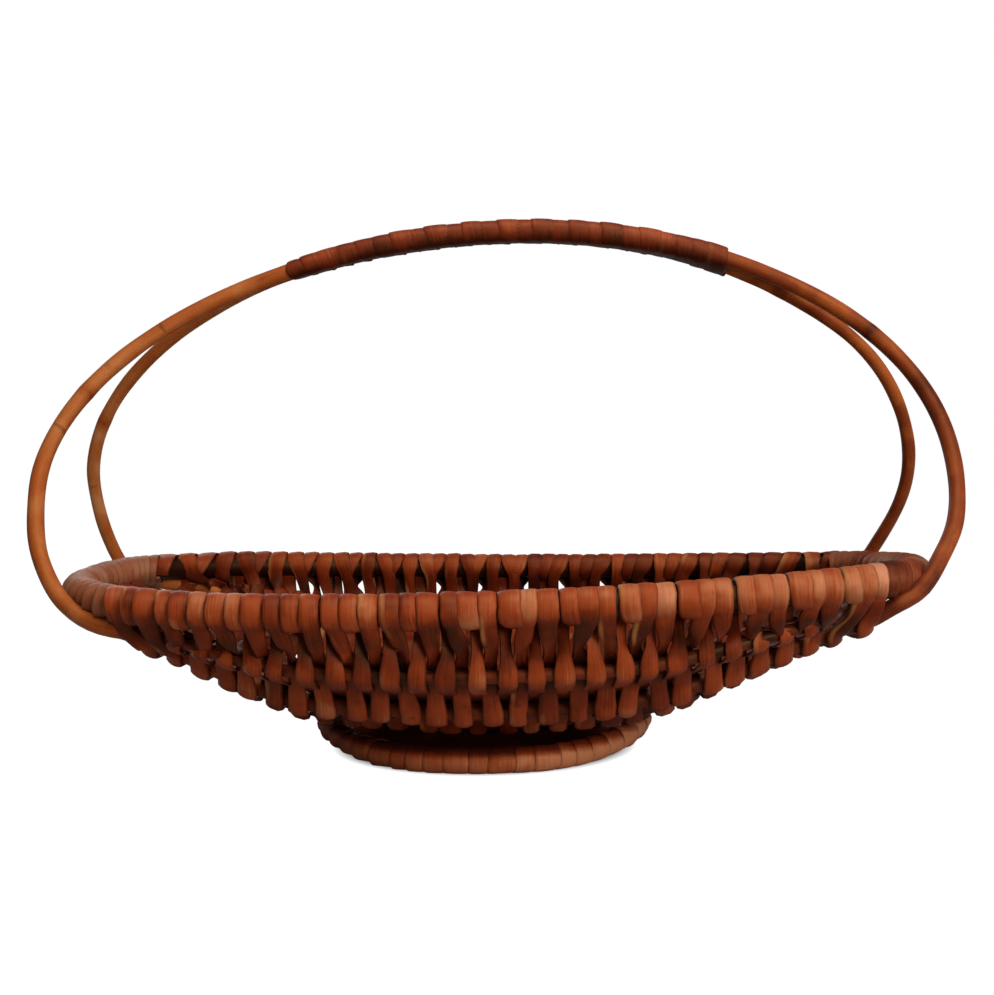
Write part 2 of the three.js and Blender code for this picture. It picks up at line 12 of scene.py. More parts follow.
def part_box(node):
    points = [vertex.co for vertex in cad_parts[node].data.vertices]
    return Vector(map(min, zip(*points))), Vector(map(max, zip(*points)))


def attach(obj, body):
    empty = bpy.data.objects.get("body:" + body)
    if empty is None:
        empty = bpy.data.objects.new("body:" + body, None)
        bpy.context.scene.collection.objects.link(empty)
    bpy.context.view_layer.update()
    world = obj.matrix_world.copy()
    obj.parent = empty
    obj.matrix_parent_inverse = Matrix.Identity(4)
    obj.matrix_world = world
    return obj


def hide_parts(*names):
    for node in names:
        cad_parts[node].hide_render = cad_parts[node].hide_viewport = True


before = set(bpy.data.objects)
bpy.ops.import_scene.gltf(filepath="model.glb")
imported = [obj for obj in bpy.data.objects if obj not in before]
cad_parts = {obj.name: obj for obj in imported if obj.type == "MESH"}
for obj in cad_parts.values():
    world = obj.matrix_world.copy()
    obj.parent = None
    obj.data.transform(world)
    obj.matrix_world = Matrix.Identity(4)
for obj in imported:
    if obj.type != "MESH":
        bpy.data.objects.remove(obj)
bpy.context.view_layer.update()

# Rim hoop: one willow rod as thick as a finger, steamed and bent to an oval whose ends stand a little higher
# than its long sides. The weaving strips and the end bindings are wound round it and hide nearly all of it.
rim_half_length = 0.161
rim_half_depth = 0.110
rim_oval_power = 2.5
rim_end_rise = 0.004
rim_tilt = 0.0008
rim_twist = 0.0034
rim_core_radius = 0.0047
rim_height = 0.0631


def half_depth_at(x):
    share = min(abs(x) / rim_half_length, 1.0)
    return rim_half_depth * (1 - share**rim_oval_power) ** (1 / rim_oval_power)


def rise_at(x, y):
    share = x / rim_half_length
    return rim_end_rise * share**2 + (rim_tilt - rim_twist * y / rim_half_depth) * share


def unit(vectors):
    return vectors / np.linalg.norm(vectors, axis=-1, keepdims=True)


def lengths_along(line):
    gaps = np.linalg.norm(np.diff(line, axis=0), axis=1)
    return np.concatenate([[0.0], np.cumsum(gaps)])


def run_through(keys, step, closed=False):
    # A smooth run through key rows, at even steps. The first three columns are the place.
    if closed:
        keys = np.vstack([keys[-2:], keys, keys[:2]])
    gaps = np.linalg.norm(np.diff(keys[:, :3], axis=0), axis=1)
    at = np.concatenate([[0.0], np.cumsum(np.maximum(gaps, 1e-7))])
    slopes = np.gradient(keys, at, axis=0)
    start, end = (at[2], at[-2]) if closed else (at[0], at[-1])
    count = max(int(round((end - start) / step)), 3)
    wanted = np.linspace(start, end, count + 1)
    index = np.clip(np.searchsorted(at, wanted, side="right") - 1, 0, len(at) - 2)
    span = (at[index + 1] - at[index])[:, None]
    t = (wanted - at[index])[:, None] / span
    before, after = keys[index], keys[index + 1]
    leave, arrive = slopes[index] * span, slopes[index + 1] * span
    blend = t * t * (3 - 2 * t)
    ease = t * (1 - t)
    return before + (after - before) * blend + ease * ((1 - t) * leave - t * arrive)


def roll_up(name, sections, across, along, tone, closed):
    # A flat sheet of faces, rolled up along its length into a rod or a strip
    rows, sides = sections.shape[:2]
    bpy.ops.object.select_all(action="DESELECT")
    bpy.ops.mesh.primitive_grid_add(x_subdivisions=sides, y_subdivisions=rows - 1, size=1)
    piece = bpy.context.object
    piece.name = name
    mesh = piece.data
    rolled = np.concatenate([sections, sections[:, :1]], axis=1)
    mesh.vertices.foreach_set("co", rolled.reshape(-1).astype(np.float32))
    corner = np.zeros(len(mesh.loops), np.int32)
    mesh.loops.foreach_get("vertex_index", corner)
    u = np.append(across, across[0])[corner % (sides + 1)]
    v = along[corner // (sides + 1)]
    mesh.uv_layers.active.data.foreach_set("uv", np.stack([u, v], 1).reshape(-1).astype(np.float32))
    mesh.uv_layers.active.name = "UVMap"
    shade = mesh.attributes.new("tone", "FLOAT", "POINT")
    shade.data.foreach_set("value", np.repeat(tone, sides + 1).astype(np.float32))
    bpy.ops.object.mode_set(mode="EDIT")
    bpy.ops.mesh.select_all(action="SELECT")
    bpy.ops.mesh.remove_doubles(threshold=1e-6)
    if not closed:
        bpy.ops.mesh.fill_holes(sides=0)
    bpy.ops.mesh.select_all(action="SELECT")
    bpy.ops.mesh.normals_make_consistent(inside=False)
    bpy.ops.object.mode_set(mode="OBJECT")
    bpy.ops.object.shade_smooth_by_angle(angle=math.radians(50))
    return piece


def wander(length, seed, reach):
    # Slow change along a piece: a few waves of random length, between about -1 and 1
    chance = random.Random(seed)
    total = np.zeros_like(length)
    for share in (0.55, 0.3, 0.15):
        wave = reach * chance.uniform(0.6, 1.5) * share
        total += share * np.sin(2 * np.pi * (length / wave + chance.random()))
    return total


def bend_rod(name, line, radius, reference, closed, sides, tone, seed, joints=()):
    # A round rod along a line, with the slight swellings that a grown shoot has,
    # and dark joints where leaves grew
    ahead = np.gradient(line, axis=0)
    if closed:
        ahead[0] = ahead[-1] = line[1] - line[-2]
    ahead = unit(ahead)
    first = unit(reference - ahead * (ahead @ reference)[:, None])
    second = np.cross(ahead, first)
    along = lengths_along(line)
    fade = np.minimum(1, np.minimum(along, along[-1] - along) / 0.02) if closed else 1
    size = radius * (1 + 0.035 * fade * wander(along, seed, 0.12))
    shade = tone + 0.16 * fade * wander(along, seed + 1, 0.16)
    for joint in joints:
        from_joint = along - along[np.argmin(np.linalg.norm(line - np.array(joint), axis=1))]
        size = size * (1 + 0.05 * np.exp(-((from_joint / 0.003) ** 2)))
        shade = shade - 0.3 * np.exp(-((from_joint / 0.0022) ** 2))
    turn = 2 * np.pi * np.arange(sides) / sides
    ring = np.cos(turn)[None, :, None] * first[:, None] + np.sin(turn)[None, :, None] * second[:, None]
    sections = line[:, None] + ring * size[:, None, None]
    return roll_up(name, sections, np.arange(sides) / sides, along + seed, shade, closed)


def varnished_willow(name, colours, fibres_across, fibres_along, edge_shade, knots, pale):
    # Peeled willow under old varnish: colour by strip, blotches, long fibres, painted shade along the edges
    # where strips meet, and small knots.
    # Here and there a pale edge: partly the pale wood below the skin, partly a painted highlight where a
    # twisted edge catches the light.
    material = bpy.data.materials.new(name)
    material.use_nodes = True
    nodes = material.node_tree.nodes
    link = material.node_tree.links.new
    shader = nodes["Principled BSDF"]

    def sum_of(first, second, share):
        node = nodes.new("ShaderNodeMath")
        node.operation = "MULTIPLY_ADD"
        link(second, node.inputs[0])
        node.inputs[1].default_value = share
        link(first, node.inputs[2])
        return node.outputs[0]

    def shifted(value, low, high, out_low, out_high):
        node = nodes.new("ShaderNodeMapRange")
        link(value, node.inputs["Value"])
        node.inputs["From Min"].default_value = low
        node.inputs["From Max"].default_value = high
        node.inputs["To Min"].default_value = out_low
        node.inputs["To Max"].default_value = out_high
        return node.outputs["Result"]

    surface = nodes.new("ShaderNodeUVMap")
    surface.uv_map = "UVMap"
    tone_and_painted_shade = nodes.new("ShaderNodeAttribute")
    tone_and_painted_shade.attribute_name = "tone"
    stretch = nodes.new("ShaderNodeMapping")
    stretch.inputs["Scale"].default_value = (fibres_across, fibres_along, 1)
    link(surface.outputs["UV"], stretch.inputs["Vector"])
    fibre = nodes.new("ShaderNodeTexNoise")
    fibre.inputs["Scale"].default_value = 1
    fibre.inputs["Detail"].default_value = 4
    fibre.inputs["Roughness"].default_value = 0.6
    link(stretch.outputs["Vector"], fibre.inputs["Vector"])
    place = nodes.new("ShaderNodeTexCoord")
    blotch = nodes.new("ShaderNodeTexNoise")
    blotch.inputs["Scale"].default_value = 85
    blotch.inputs["Detail"].default_value = 2.5
    blotch.inputs["Roughness"].default_value = 0.5
    link(place.outputs["Object"], blotch.inputs["Vector"])

    level = sum_of(tone_and_painted_shade.outputs["Fac"], shifted(blotch.outputs["Fac"], 0.25, 0.75, -1, 1), 0.17)
    level = sum_of(level, shifted(fibre.outputs["Fac"], 0.25, 0.75, -1, 1), 0.13)
    ramp = nodes.new("ShaderNodeValToRGB")
    ramp.color_ramp.interpolation = "EASE"
    steps = ramp.color_ramp.elements
    while len(steps) < len(colours):
        steps.new(0.5)
    for stop, (at, colour) in zip(steps, colours):
        stop.position = at
        stop.color = (*colour, 1)
    link(level, ramp.inputs["Fac"])

    part = nodes.new("ShaderNodeSeparateXYZ")
    link(surface.outputs["UV"], part.inputs["Vector"])
    from_middle = nodes.new("ShaderNodeMath")
    from_middle.operation = "SUBTRACT"
    link(part.outputs["X"], from_middle.inputs[0])
    from_middle.inputs[1].default_value = 0.5
    distance = nodes.new("ShaderNodeMath")
    distance.operation = "ABSOLUTE"
    link(from_middle.outputs[0], distance.inputs[0])
    # Painted shade along both edges of a strip, where it meets its neighbours
    edge = shifted(distance.outputs[0], 0.40, 0.5, 0, edge_shade)
    speck_place = nodes.new("ShaderNodeMapping")
    speck_place.inputs["Scale"].default_value = (1.1, 150, 1)
    link(surface.outputs["UV"], speck_place.inputs["Vector"])
    speck = nodes.new("ShaderNodeTexNoise")
    speck.inputs["Scale"].default_value = 1
    speck.inputs["Detail"].default_value = 1.5
    link(speck_place.outputs["Vector"], speck.inputs["Vector"])
    knot = shifted(speck.outputs["Fac"], 0.70, 0.78, 0, knots)
    darkness = sum_of(edge, knot, 1)
    dark = nodes.new("ShaderNodeMix")
    dark.data_type = "RGBA"
    link(darkness, dark.inputs[0])
    link(ramp.outputs["Color"], dark.inputs[6])
    dark.inputs[7].default_value = (0.018, 0.0030, 0.0012, 1)
    # A pale edge here and there: partly the pale wood below the skin, partly a painted highlight where a
    # twisted edge catches the light
    split_edge_and_highlight_place = nodes.new("ShaderNodeMapping")
    split_edge_and_highlight_place.inputs["Scale"].default_value = (0.6, 34, 1)
    split_edge_and_highlight_place.inputs["Location"].default_value = (0, 7.3, 0)
    link(surface.outputs["UV"], split_edge_and_highlight_place.inputs["Vector"])
    split_edge_and_highlight = nodes.new("ShaderNodeTexNoise")
    split_edge_and_highlight.inputs["Scale"].default_value = 1
    split_edge_and_highlight.inputs["Detail"].default_value = 1
    link(split_edge_and_highlight_place.outputs["Vector"], split_edge_and_highlight.inputs["Vector"])
    near_edge = nodes.new("ShaderNodeMath")
    near_edge.operation = "MULTIPLY"
    link(shifted(split_edge_and_highlight.outputs["Fac"], 0.61, 0.68, 0, pale), near_edge.inputs[0])
    link(shifted(part.outputs["X"], 0.66, 0.82, 0, 1), near_edge.inputs[1])
    wood = nodes.new("ShaderNodeMix")
    wood.data_type = "RGBA"
    link(near_edge.outputs[0], wood.inputs[0])
    link(dark.outputs[2], wood.inputs[6])
    wood.inputs[7].default_value = (0.36, 0.135, 0.040, 1)
    link(wood.outputs[2], shader.inputs["Base Color"])

    link(shifted(fibre.outputs["Fac"], 0.3, 0.7, 0.44, 0.58), shader.inputs["Roughness"])
    shader.inputs["Specular IOR Level"].default_value = 0.25
    shader.inputs["Specular Tint"].default_value = (1.0, 0.60, 0.28, 1)
    bump = nodes.new("ShaderNodeBump")
    bump.inputs["Strength"].default_value = 0.25
    bump.inputs["Distance"].default_value = 0.0004
    link(sum_of(fibre.outputs["Fac"], blotch.outputs["Fac"], 0.6), bump.inputs["Height"])
    link(bump.outputs["Normal"], shader.inputs["Normal"])
    return material


rod_colours = [
    (0.0, (0.014, 0.0018, 0.0007)),
    (0.3, (0.110, 0.0130, 0.0035)),
    (0.55, (0.210, 0.0320, 0.0070)),
    (0.8, (0.300, 0.0600, 0.0150)),
    (1.0, (0.380, 0.1100, 0.0350)),
]
rod_willow = varnished_willow("rod_willow", rod_colours, 7, 55, 0, 0.55, 0)


def finish_piece(piece, material, slot, *nodes):
    piece.data.materials.clear()
    piece.data.materials.append(material)
    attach(piece, "root")
    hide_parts(*nodes)


oval_steps = 240
oval_keys = []
for i in range(oval_steps):
    turn = 2 * math.pi * i / oval_steps
    reach_x = math.copysign(abs(math.cos(turn)) ** (2 / rim_oval_power), math.cos(turn))
    reach_y = math.copysign(abs(math.sin(turn)) ** (2 / rim_oval_power), math.sin(turn))
    x, y = rim_half_length * reach_x, rim_half_depth * reach_y
    oval_keys.append((x, y, rim_height + rise_at(x, y)))
rim_line = run_through(np.array(oval_keys), 0.001, closed=True)
rim_lengths = lengths_along(rim_line)
upright = np.array([0.0, 0.0, 1.0])
rim_hoop = bend_rod("rim_hoop", rim_line[::5], rim_core_radius, upright, True, 10, -0.25, 11)
finish_piece(rim_hoop, rod_willow, "willow_rod", "rim_core")

# Ribs: eight thin round shoots that run from end to end under the basket, two of them close below the rim.
# Their tips are tucked up under the ends of the rim, and the weaving strips hold them in place.
hull_depth = 0.050
keel_power = 1.9
section_power = 2.5
rib_lines = 10
rib_radius = 0.0024
edge_rib_reach = 0.114
rib_tone = 0.17
weave_half_length = 0.1344
# The hull sags on both sides of the foot ring and is drawn up near its left end: how far, where, how wide
hull_sags = ((0.0038, -0.070, 0.024), (0.0028, 0.052, 0.024), (-0.0022, -0.124, 0.015))


def hump(distance, reach):
    return math.exp(-((distance / reach) ** 2))


def depth_at(x):
    sag = sum(depth * hump(x - middle, reach) for depth, middle, reach in hull_sags)
    return hull_depth * (1 - min(abs(x) / rim_half_length, 1.0) ** keel_power) + sag


def hull_point(x, angle):
    # The angle runs from 0 at the front rim, past a right angle at the keel, to a half turn at the back rim
    across = math.cos(angle)
    y = -half_depth_at(x) * math.copysign(abs(across) ** (2 / section_power), across)
    below = depth_at(x) * max(math.sin(angle), 0.0) ** (2 / section_power)
    return np.array([x, y, rim_height + rise_at(x, y) - below])


def hull_outward(x, angle):
    along = hull_point(x + 1e-5, angle) - hull_point(x - 1e-5, angle)
    around = hull_point(x, angle + 1e-3) - hull_point(x, angle - 1e-3)
    return unit(np.cross(around, along))


def evenly_spaced_angles():
    turns = np.linspace(0, math.pi, 2001)
    points = np.array([hull_point(0, turn) for turn in turns])
    lengths = lengths_along(points)
    wanted = lengths[-1] * np.arange(1, rib_lines + 1) / (rib_lines + 1)
    return np.interp(wanted, lengths, turns)


line_angles = evenly_spaced_angles()
for line in (1, 3, 4, 5, 6, 7, 8, 10):
    node = f"rib_{line:02d}"
    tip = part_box(node)[1].x - 0.0004
    route = np.array([hull_point(x, line_angles[line - 1]) for x in np.linspace(-tip, tip, 120)])
    rib = bend_rod(f"rib_shoot_{line:02d}", route, rib_radius, upright, False, 10, rib_tone, 20 + line)
    finish_piece(rib, rod_willow, "willow_rod", node)

# Handle rods: two peeled shoots, golden under the varnish. Each runs over the top, spreads from
# its neighbour, dives under the end of the rim and goes on under the basket as a rib,
# so the handle can't fold.
handle_line = 2
handle_radii = {"front": 0.0031, "back": 0.0027}
lead_length = 0.029
lead_turn_left = math.radians(33)
lead_turn_right = math.radians(15)
lead_lift = 0.0055
arch_half_span = rim_half_length + 0.010
arch_middle = rim_height + 0.043
arch_rise = 0.0978
arch_lean = 0.012
left_droop = 1.4
half_spread = {"front": 0.0525, "back": 0.0465}
split_height = 0.1845
rim_stand_off = 0.0059
rim_leave = 0.012
back_rod_drop = 0.0030
back_rod_drop_turn = math.radians(50)
back_rod_drop_reach = math.radians(17)
back_rod_bulge = 0.0030
back_rod_bulge_height = 0.103
back_rod_bulge_reach = 0.028


def lead_at(x):
    return max((abs(x) - weave_half_length + lead_length) / lead_length, 0.0) ** 2


def rod_radius(line):
    if line == handle_line:
        return handle_radii["front"]
    if line == rib_lines + 1 - handle_line:
        return handle_radii["back"]
    return rib_radius


def is_handle_line(line):
    return line in (handle_line, rib_lines + 1 - handle_line)


def line_angle(line, x):
    angle = line_angles[line - 1]
    if not is_handle_line(line):
        return angle
    climb = lead_at(x) * (lead_turn_left if x < 0 else lead_turn_right)
    return angle - climb if line == handle_line else angle + climb


def line_lift(line, x):
    return lead_at(x) * lead_lift if is_handle_line(line) else 0.0


def line_point(line, x):
    angle = line_angle(line, x)
    return hull_point(x, angle) + hull_outward(x, angle) * line_lift(line, x)


def arch_drop(end):
    return arch_rise * left_droop if end < 0 else arch_rise


def arch_point(turn):
    height = math.sin(turn)
    lean = arch_lean * max(height, 0.0) ** 1.3
    reach = arch_drop(math.cos(turn)) if height < 0 else arch_rise
    return np.array([arch_half_span * math.cos(turn) + lean, 0.0, arch_middle + reach * height])


def drop_at(turn):
    # At the right end of the grip the back rod lies a little lower than the front rod
    return back_rod_drop * hump(turn - back_rod_drop_turn, back_rod_drop_reach)


def rim_frame(length):
    # Middle of the rim at a length counted from its right end towards the back, and the ways out of it and up
    at = length % rim_lengths[-1]
    columns = range(3)
    centre = np.array([np.interp(at, rim_lengths, rim_line[:, i]) for i in columns])
    further = (at + 0.0005) % rim_lengths[-1]
    nearer = (at - 0.0005) % rim_lengths[-1]
    ahead = np.array([np.interp(further, rim_lengths, rim_line[:, i]) for i in columns])
    ahead = unit(ahead - np.array([np.interp(nearer, rim_lengths, rim_line[:, i]) for i in columns]))
    out = unit(np.array([ahead[1], -ahead[0], 0.0]))
    return centre, out, unit(np.cross(out, ahead))


def rim_length_where(low, high, test):
    start, end = low * rim_lengths[-1], high * rim_lengths[-1]
    for _ in range(40):
        middle = (start + end) / 2
        if test(rim_frame(middle)[0]):
            end = middle
        else:
            start = middle
    return (start + end) / 2


def rim_length_beside(end, side, reach):
    if end > 0 and side > 0:
        return rim_length_where(0, 0.22, lambda point: point[1] >= reach)
    if end > 0:
        return rim_length_where(0.78, 1, lambda point: point[1] >= -reach)
    if side > 0:
        return rim_length_where(0.28, 0.5, lambda point: point[1] <= reach)
    return rim_length_where(0.5, 0.72, lambda point: point[1] <= -reach)


# The way round the end of the rim: millimetres past the spread, degrees round the rim,
# share of the stand-off
right_passing = ((17, -56, 1.0), (11, -31, 1.0), (5, -4, 1.06), (2, 25, 1.35))
left_passing = (
    (20, -64, 1.0),
    (15, -48, 1.0),
    (10, -31, 1.0),
    (5, -14, 1.06),
    (0, 4, 1.25),
    (0, 24, 1.65),
)


def handle_route(name, line):
    side = -1 if line == handle_line else 1
    radius = handle_radii[name]
    stand_off = rim_stand_off + radius
    beside = radius + 0.0002

    def past_the_rim(end, passing):
        points = []
        for further, degrees, drift in passing:
            length = rim_length_beside(end, side, half_spread[name] + further / 1000)
            centre, out, up = rim_frame(length)
            turn = math.radians(degrees)
            points.append(centre + drift * stand_off * (out * math.cos(turn) + up * math.sin(turn)))
        return points

    right = past_the_rim(1, right_passing)
    left = past_the_rim(-1, left_passing)
    woven_length = weave_half_length - 0.004
    keys = [line_point(line, x) for x in np.linspace(-woven_length, woven_length, 45)]
    keys += right
    low_right = math.asin((right[-1][2] + rim_leave - arch_middle) / arch_drop(1))
    low_left = math.pi - math.asin((left[-1][2] + rim_leave - arch_middle) / arch_drop(-1))
    for turn in np.linspace(low_right, low_left, 41):
        point = arch_point(turn)
        passing = right[-1] if turn < math.pi / 2 else left[-1]
        spread = abs(passing[1]) - beside
        apart = max(split_height - point[2], 0.0) / (split_height - passing[2])
        point[1] = side * (beside + spread * apart ** (1.15 if turn < math.pi / 2 else 1.0))
        if side > 0:
            point -= drop_at(turn) * np.array([math.cos(turn), 0.0, math.sin(turn)])
            if turn < math.pi / 2:
                point[0] += back_rod_bulge * hump(point[2] - back_rod_bulge_height, back_rod_bulge_reach)
        keys.append(point)
    keys += left[::-1]
    return ease_round_rim(run_through(np.array(keys), 0.002, closed=True), stand_off)


def ease_round_rim(route, stand_off):
    # The springy rod evens out its bends between the weave and the arch, and stays clear of the bound rim
    loose = np.clip((np.abs(route[:, 0]) - weave_half_length) / 0.006, 0, 1)
    loose *= np.clip((0.110 - route[:, 2]) / 0.015, 0, 1)
    for _ in range(20):
        middle = (np.roll(route[:-1], 1, axis=0) + np.roll(route[:-1], -1, axis=0)) / 2
        middle = np.vstack([middle, middle[:1]])
        route = route + 0.5 * loose[:, None] * (middle - route)
        away = route[:, None] - rim_line[None, ::4]
        gaps = np.linalg.norm(away, axis=2)
        nearest = np.argmin(gaps, axis=1)
        rows = np.arange(len(route))
        short = np.maximum(stand_off - gaps[rows, nearest], 0) * (loose > 0)
        route = route + unit(away[rows, nearest]) * short[:, None]
    return route


handle_colours = [
    (0.0, (0.060, 0.0070, 0.0018)),
    (0.3, (0.160, 0.0250, 0.0048)),
    (0.55, (0.270, 0.0570, 0.0095)),
    (0.8, (0.325, 0.0920, 0.0220)),
    (1.0, (0.400, 0.1480, 0.0520)),
]
handle_willow = varnished_willow("handle_willow", handle_colours, 6, 30, 0, 0.75, 0)
sideways = np.array([0.0, 1.0, 0.0])
rod_joints = {
    "front": ((-0.158, -0.025, 0.141), (0.148, -0.018, 0.164)),
    "back": ((0.112, 0.006, 0.178), (-0.162, 0.028, 0.132)),
}
golden_tone = {"front": 0.50, "back": 0.60}
for side, line, seed in (("front", handle_line, 41), ("back", rib_lines + 1 - handle_line, 57)):
    # Paler to the left and to the top; darker below the rim, where shade is painted on
    route = handle_route(side, line)
    height = route[:, 2]
    golden = golden_tone[side] - 1.2 * route[:, 0] + 0.35 * np.clip((height - 0.10) / 0.1, -1, 0)
    golden -= 0.22 * np.clip((0.056 - height) / 0.012, 0, 1)
    joints = rod_joints[side]
    rod = bend_rod(f"handle_rod_{side}", route, handle_radii[side], sideways, True, 16, golden, seed, joints)
    finish_piece(rod, handle_willow, "handle_rod", f"handle_hoop_{side}")

# Weaving strips: flat split willow, shaved thin and woven damp across the basket from rim to rim.
# A strip goes over one rib and behind the next, then once or twice round the rim and back in the next lane.
lane_count = 56
lanes_per_strip = 4
lane_width = 2 * weave_half_length / lane_count
strip_thickness = 0.0011
width_on_rim = 0.0070
width_on_rib = {1: 0.0063, 2: 0.0073, 3: 0.0070, 4: 0.0066, 5: 0.0066}
width_between = 0.0062
width_at_crossing = 0.0046
width_at_back_crossing = 0.0050
crossing_depth = 0.0138
lean_inward = {1: 0.018, 2: 0.050, 3: 0.065, 4: 0.075, 5: 0.080}
rim_loop_radius = rim_core_radius + 0.0009
strip_top = [(-0.5, 0.2), (-0.46, 0.44), (-0.3, 0.5), (-0.1, 0.5)]
strip_top += [(-across, up) for across, up in strip_top[::-1]]
strip_section = np.array(strip_top + [(0.5, -0.25), (0.25, -0.5), (-0.25, -0.5), (-0.5, -0.25)])
strip_cup = 0.0009
strip_gap = 0.0002
rim_fan = 0.016
back_fan_left = 0.055
back_fan_right = 0.040
fan_start = 0.05
fan_reach = 0.08
loop_start = 200
loop_inside = 115
loop_outside = -5
loop_leaving = -62
loop_step = 18.7
narrow_shift = 0.0014
strip_chance = random.Random(7)


def lane_x(lane):
    return (lane - (lane_count - 1) / 2) * lane_width


def lines_across(x):
    # The ribs close below the rim don't reach the last lanes
    if abs(x) <= edge_rib_reach:
        return range(1, rib_lines + 1)
    return range(2, rib_lines)


def turned(up, axis, degrees):
    angle = math.radians(degrees)
    axis = unit(axis)
    return up * math.cos(angle) + np.cross(axis, up) * math.sin(angle)


def lay_strip(name, keys, thickness, step, tone, spread, seed):
    # Key rows hold the place, the way that the strip's face looks, its width, its shade, which mostly holds
    # painted light and shade, and how far it cups
    rows = run_through(np.array(keys), step)
    place = rows[:, :3]
    ahead = unit(np.gradient(place, axis=0))
    across = unit(np.cross(ahead, rows[:, 3:6]))
    up = np.cross(across, ahead)
    along = lengths_along(place)
    width = rows[:, 6] * (1 + 0.06 * wander(along, seed, 0.03))
    flat = across[:, None] * (strip_section[None, :, :1] * width[:, None, None])
    cupped = rows[:, 8, None] * (1 - 4 * strip_section[None, :, 0] ** 2)
    raised = strip_section[None, :, 1] * thickness + cupped
    sections = place[:, None] + flat + up[:, None] * raised[:, :, None]
    shade = tone + spread * wander(along, seed + 1, 0.35) + rows[:, 7]
    return roll_up(name, sections, strip_section[:, 0] + 0.5, along + seed, shade, False)


def key(place, up, width, shade=0.0, cup=0.0):
    return np.concatenate([place, up, [width, shade, cup]])


def crossing_key(x, angle, facing, width, twist):
    # Where a strip slips through from one side of the hull to the other
    out = hull_outward(x, angle)
    around = hull_point(x, angle + 1e-3) - hull_point(x, angle - 1e-3)
    # Painted shade: the strip is darker where it slips in under the rim band
    return key(hull_point(x, angle), turned(out * facing, around, twist), width, -0.25)


def row_of(line):
    # Rows count from the rim to the keel, at the front and at the back
    return min(line, rib_lines + 1 - line)


def keys_round_rod(line, x, outside, facing, width):
    # Three places where a strip bends round a rod
    angle = line_angle(line, x)
    out = hull_outward(x, angle)
    around = unit(hull_point(x, angle + 1e-3) - hull_point(x, angle - 1e-3))
    slack = math.sqrt(lead_at(x)) * 0.0003 if is_handle_line(line) else 0.0
    stand = rod_radius(line) + strip_thickness / 2 + strip_gap + slack
    stand *= strip_chance.uniform(1.0, 1.1)
    # Painted shade: darker on the inside of the hull, and on its underside below the third row
    outer_shade = -0.42 if row_of(line) > 3 else 0.0
    shade = outer_shade if outside > 0 else -0.32
    keys = []
    for degrees in (-42, 0, 42):
        turn = math.radians(degrees)
        away = out * outside * math.cos(turn) + around * math.sin(turn)
        cup = strip_cup * outside * facing * (0.55 if line == 1 else 1.0)
        keys.append(key(line_point(line, x) + away * stand, away * outside * facing, width, shade, cup))
    return keys


def angle_below_rim(x, depth):
    return math.asin((depth / depth_at(x)) ** (section_power / 2))


def lane_keys(lane):
    # One crossing of the basket, from the front rim to the back rim
    x = lane_x(lane)
    facing = 1 if lane % 2 else -1
    lines = lines_across(x)
    places = []
    for line in lines:
        outside = 1 if (lane + line) % 2 else -1
        row = row_of(line)
        inward = 1 - lean_inward[row] * abs(x) / weave_half_length
        leaning = x * inward + strip_chance.uniform(-0.0013, 0.0013)
        wide = width_on_rib[row] * strip_chance.uniform(0.84, 1.13)
        places.append(keys_round_rod(line, leaning, outside, facing, wide))
    keys = []
    for here, ahead in zip(places, places[1:]):
        middle = (here[-1] + ahead[0]) / 2
        middle[6] = width_between
        keys += [*here, middle]
    keys += places[-1]
    if 1 not in lines:
        return keys
    front = angle_below_rim(x, crossing_depth)
    twist = strip_chance.uniform(15, 45) * strip_chance.choice((-1, 1))
    first = crossing_key(x, front, facing, width_at_crossing, twist)
    last = crossing_key(x, math.pi - front, facing, width_at_back_crossing, -0.3 * twist)
    return [first, *keys, last]


def rim_slope(x):
    return (half_depth_at(x + 1e-5) - half_depth_at(x - 1e-5)) / 2e-5


def rim_loop_key(x, side, degrees, radius, width, tilt, shade):
    # A place on the loop round the rim, in a plane across the basket: 0 is outside, 90 on top, 180 inside
    turn = math.radians(degrees)
    stretch = math.hypot(1, rim_slope(x))
    rim_y = side * half_depth_at(x)
    y = rim_y + side * radius * math.cos(turn) * stretch
    away = np.array([0.0, side * math.cos(turn), math.sin(turn)])
    round_rim = np.array([0.0, -side * math.sin(turn), math.cos(turn)])
    up = turned(away, round_rim, tilt) * -side
    place = np.array([x, y, rim_height + rise_at(x, rim_y) + radius * math.sin(turn)])
    return key(place, up, width, shade, -0.4 * side * strip_cup)


def fanned(x, side):
    # Towards the ends the strips spread on the rim, most of all on the back rim
    spread = 0
    if side > 0:
        spread = back_fan_left if x < 0 else back_fan_right
    return x * (1 + rim_fan + spread * min(max((abs(x) - fan_start) / fan_reach, 0), 1) ** 2)


